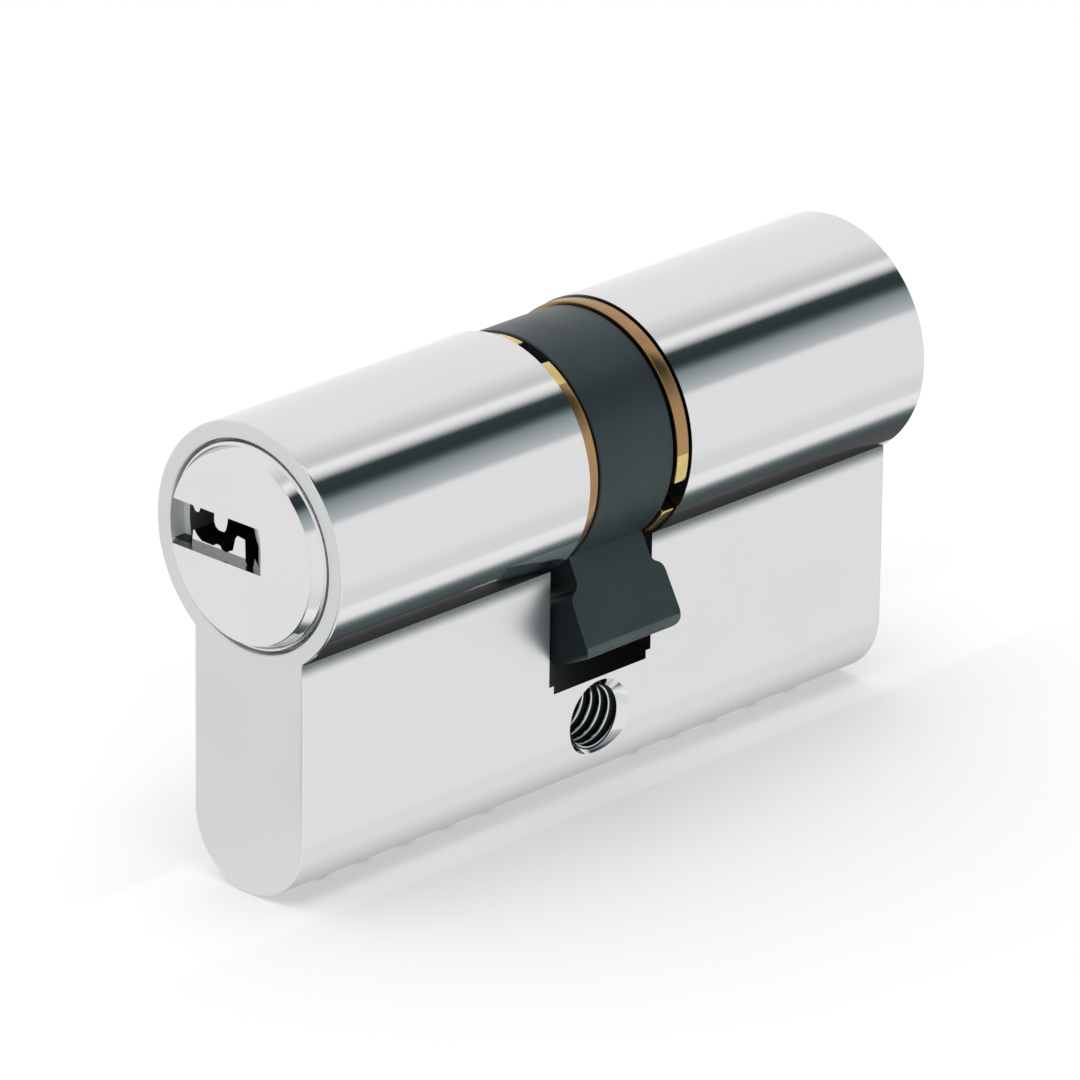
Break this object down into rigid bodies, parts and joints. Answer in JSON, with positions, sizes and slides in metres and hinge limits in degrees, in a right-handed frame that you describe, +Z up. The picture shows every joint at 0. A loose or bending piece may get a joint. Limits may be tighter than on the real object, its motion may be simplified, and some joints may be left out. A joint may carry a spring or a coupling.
{
  "type": "double profile lock cylinder",
  "caption": "Nickel-plated double profile cylinder of a deadbolt door lock: round barrel on a flat web, horizontal keyway, turning cam with nose, screw hole.",
  "frame": {"origin": "centre of the fixing-screw hole, midway through the web", "axes": "+X along the barrel from the outer end to the inner end, +Y across the web away from the cam's nose, +Z up to the barrel"},
  "size_m": [0.0574, 0.017, 0.033],
  "materials": {
    "nickel_plate": "polished nickel plate over machined brass",
    "sintered_steel": "dark burnished sintered steel",
    "bronze": "bright spring bronze",
    "brass": "bare turned brass",
    "spring_steel": "bright steel"
  },
  "bodies": {
    "housing": {"housing": "nickel_plate", "pin_spring_a1": "spring_steel", "chamber_plug_a1": "brass", "pin_spring_a2": "spring_steel", "chamber_plug_a2": "brass", "pin_spring_a3": "spring_steel", "chamber_plug_a3": "brass", "pin_spring_a4": "spring_steel", "chamber_plug_a4": "brass", "pin_spring_a5": "spring_steel", "chamber_plug_a5": "brass", "pin_spring_b1": "spring_steel", "chamber_plug_b1": "brass", "pin_spring_b2": "spring_steel", "chamber_plug_b2": "brass", "pin_spring_b3": "spring_steel", "chamber_plug_b3": "brass", "pin_spring_b4": "spring_steel", "chamber_plug_b4": "brass", "pin_spring_b5": "spring_steel", "chamber_plug_b5": "brass"},
    "plug_a": {"plug_a": "nickel_plate", "circlip_a": "bronze"},
    "plug_b": {"plug_b": "nickel_plate", "circlip_b": "bronze"},
    "cam": {"cam": "sintered_steel"},
    "clutch": {"clutch": "spring_steel"},
    "key_pin_a1": {"key_pin_a1": "brass"},
    "driver_pin_a1": {"driver_pin_a1": "spring_steel"},
    "key_pin_a2": {"key_pin_a2": "brass"},
    "driver_pin_a2": {"driver_pin_a2": "spring_steel"},
    "key_pin_a3": {"key_pin_a3": "brass"},
    "driver_pin_a3": {"driver_pin_a3": "spring_steel"},
    "key_pin_a4": {"key_pin_a4": "brass"},
    "driver_pin_a4": {"driver_pin_a4": "spring_steel"},
    "key_pin_a5": {"key_pin_a5": "brass"},
    "driver_pin_a5": {"driver_pin_a5": "spring_steel"},
    "key_pin_b1": {"key_pin_b1": "brass"},
    "driver_pin_b1": {"driver_pin_b1": "spring_steel"},
    "key_pin_b2": {"key_pin_b2": "brass"},
    "driver_pin_b2": {"driver_pin_b2": "spring_steel"},
    "key_pin_b3": {"key_pin_b3": "brass"},
    "driver_pin_b3": {"driver_pin_b3": "spring_steel"},
    "key_pin_b4": {"key_pin_b4": "brass"},
    "driver_pin_b4": {"driver_pin_b4": "spring_steel"},
    "key_pin_b5": {"key_pin_b5": "brass"},
    "driver_pin_b5": {"driver_pin_b5": "spring_steel"}
  },
  "joints": [
    {"name": "plug_a_turn", "type": "hinge", "parent": "housing", "child": "plug_a", "pos_m": [-0.016, 0, 0.0189], "axis": [1, 0, 0], "continuous": true},
    {"name": "plug_b_turn", "type": "hinge", "parent": "housing", "child": "plug_b", "pos_m": [0.016, 0, 0.0189], "axis": [1, 0, 0], "continuous": true},
    {"name": "cam_turn", "type": "hinge", "parent": "housing", "child": "cam", "pos_m": [0, 0, 0.0189], "axis": [1, 0, 0], "continuous": true},
    {"name": "clutch_slide", "type": "slide", "parent": "cam", "child": "clutch", "axis": [1, 0, 0], "range_m": [0, 0.0011]},
    {"name": "driver_pin_a1_slide", "type": "slide", "parent": "housing", "child": "driver_pin_a1", "axis": [0, 0, 1], "range_m": [-0.0015, 0], "stiffness_N_per_m": 200, "springref_m": 0.0035, "deforming": ["pin_spring_a1"]},
    {"name": "key_pin_a1_slide", "type": "slide", "parent": "plug_a", "child": "key_pin_a1", "axis": [0, 0, 1], "range_m": [0, 0.0008]},
    {"name": "driver_pin_a2_slide", "type": "slide", "parent": "housing", "child": "driver_pin_a2", "axis": [0, 0, 1], "range_m": [-0.0015, 0], "stiffness_N_per_m": 200, "springref_m": 0.0035, "deforming": ["pin_spring_a2"]},
    {"name": "key_pin_a2_slide", "type": "slide", "parent": "plug_a", "child": "key_pin_a2", "axis": [0, 0, 1], "range_m": [0, 0.0008]},
    {"name": "driver_pin_a3_slide", "type": "slide", "parent": "housing", "child": "driver_pin_a3", "axis": [0, 0, 1], "range_m": [-0.0015, 0], "stiffness_N_per_m": 200, "springref_m": 0.0035, "deforming": ["pin_spring_a3"]},
    {"name": "key_pin_a3_slide", "type": "slide", "parent": "plug_a", "child": "key_pin_a3", "axis": [0, 0, 1], "range_m": [0, 0.0008]},
    {"name": "driver_pin_a4_slide", "type": "slide", "parent": "housing", "child": "driver_pin_a4", "axis": [0, 0, 1], "range_m": [-0.0015, 0], "stiffness_N_per_m": 200, "springref_m": 0.0035, "deforming": ["pin_spring_a4"]},
    {"name": "key_pin_a4_slide", "type": "slide", "parent": "plug_a", "child": "key_pin_a4", "axis": [0, 0, 1], "range_m": [0, 0.0008]},
    {"name": "driver_pin_a5_slide", "type": "slide", "parent": "housing", "child": "driver_pin_a5", "axis": [0, 0, 1], "range_m": [-0.0015, 0], "stiffness_N_per_m": 200, "springref_m": 0.0035, "deforming": ["pin_spring_a5"]},
    {"name": "key_pin_a5_slide", "type": "slide", "parent": "plug_a", "child": "key_pin_a5", "axis": [0, 0, 1], "range_m": [0, 0.0008]},
    {"name": "driver_pin_b1_slide", "type": "slide", "parent": "housing", "child": "driver_pin_b1", "axis": [0, 0, 1], "range_m": [-0.0015, 0], "stiffness_N_per_m": 200, "springref_m": 0.0035, "deforming": ["pin_spring_b1"]},
    {"name": "key_pin_b1_slide", "type": "slide", "parent": "plug_b", "child": "key_pin_b1", "axis": [0, 0, 1], "range_m": [0, 0.0008]},
    {"name": "driver_pin_b2_slide", "type": "slide", "parent": "housing", "child": "driver_pin_b2", "axis": [0, 0, 1], "range_m": [-0.0015, 0], "stiffness_N_per_m": 200, "springref_m": 0.0035, "deforming": ["pin_spring_b2"]},
    {"name": "key_pin_b2_slide", "type": "slide", "parent": "plug_b", "child": "key_pin_b2", "axis": [0, 0, 1], "range_m": [0, 0.0008]},
    {"name": "driver_pin_b3_slide", "type": "slide", "parent": "housing", "child": "driver_pin_b3", "axis": [0, 0, 1], "range_m": [-0.0015, 0], "stiffness_N_per_m": 200, "springref_m": 0.0035, "deforming": ["pin_spring_b3"]},
    {"name": "key_pin_b3_slide", "type": "slide", "parent": "plug_b", "child": "key_pin_b3", "axis": [0, 0, 1], "range_m": [0, 0.0008]},
    {"name": "driver_pin_b4_slide", "type": "slide", "parent": "housing", "child": "driver_pin_b4", "axis": [0, 0, 1], "range_m": [-0.0015, 0], "stiffness_N_per_m": 200, "springref_m": 0.0035, "deforming": ["pin_spring_b4"]},
    {"name": "key_pin_b4_slide", "type": "slide", "parent": "plug_b", "child": "key_pin_b4", "axis": [0, 0, 1], "range_m": [0, 0.0008]},
    {"name": "driver_pin_b5_slide", "type": "slide", "parent": "housing", "child": "driver_pin_b5", "axis": [0, 0, 1], "range_m": [-0.0015, 0], "stiffness_N_per_m": 200, "springref_m": 0.0035, "deforming": ["pin_spring_b5"]},
    {"name": "key_pin_b5_slide", "type": "slide", "parent": "plug_b", "child": "key_pin_b5", "axis": [0, 0, 1], "range_m": [0, 0.0008]}
  ],
  "couplings": [
    {"joint": "cam_turn", "follows": "plug_a_turn", "ratio": 1}
  ]
}
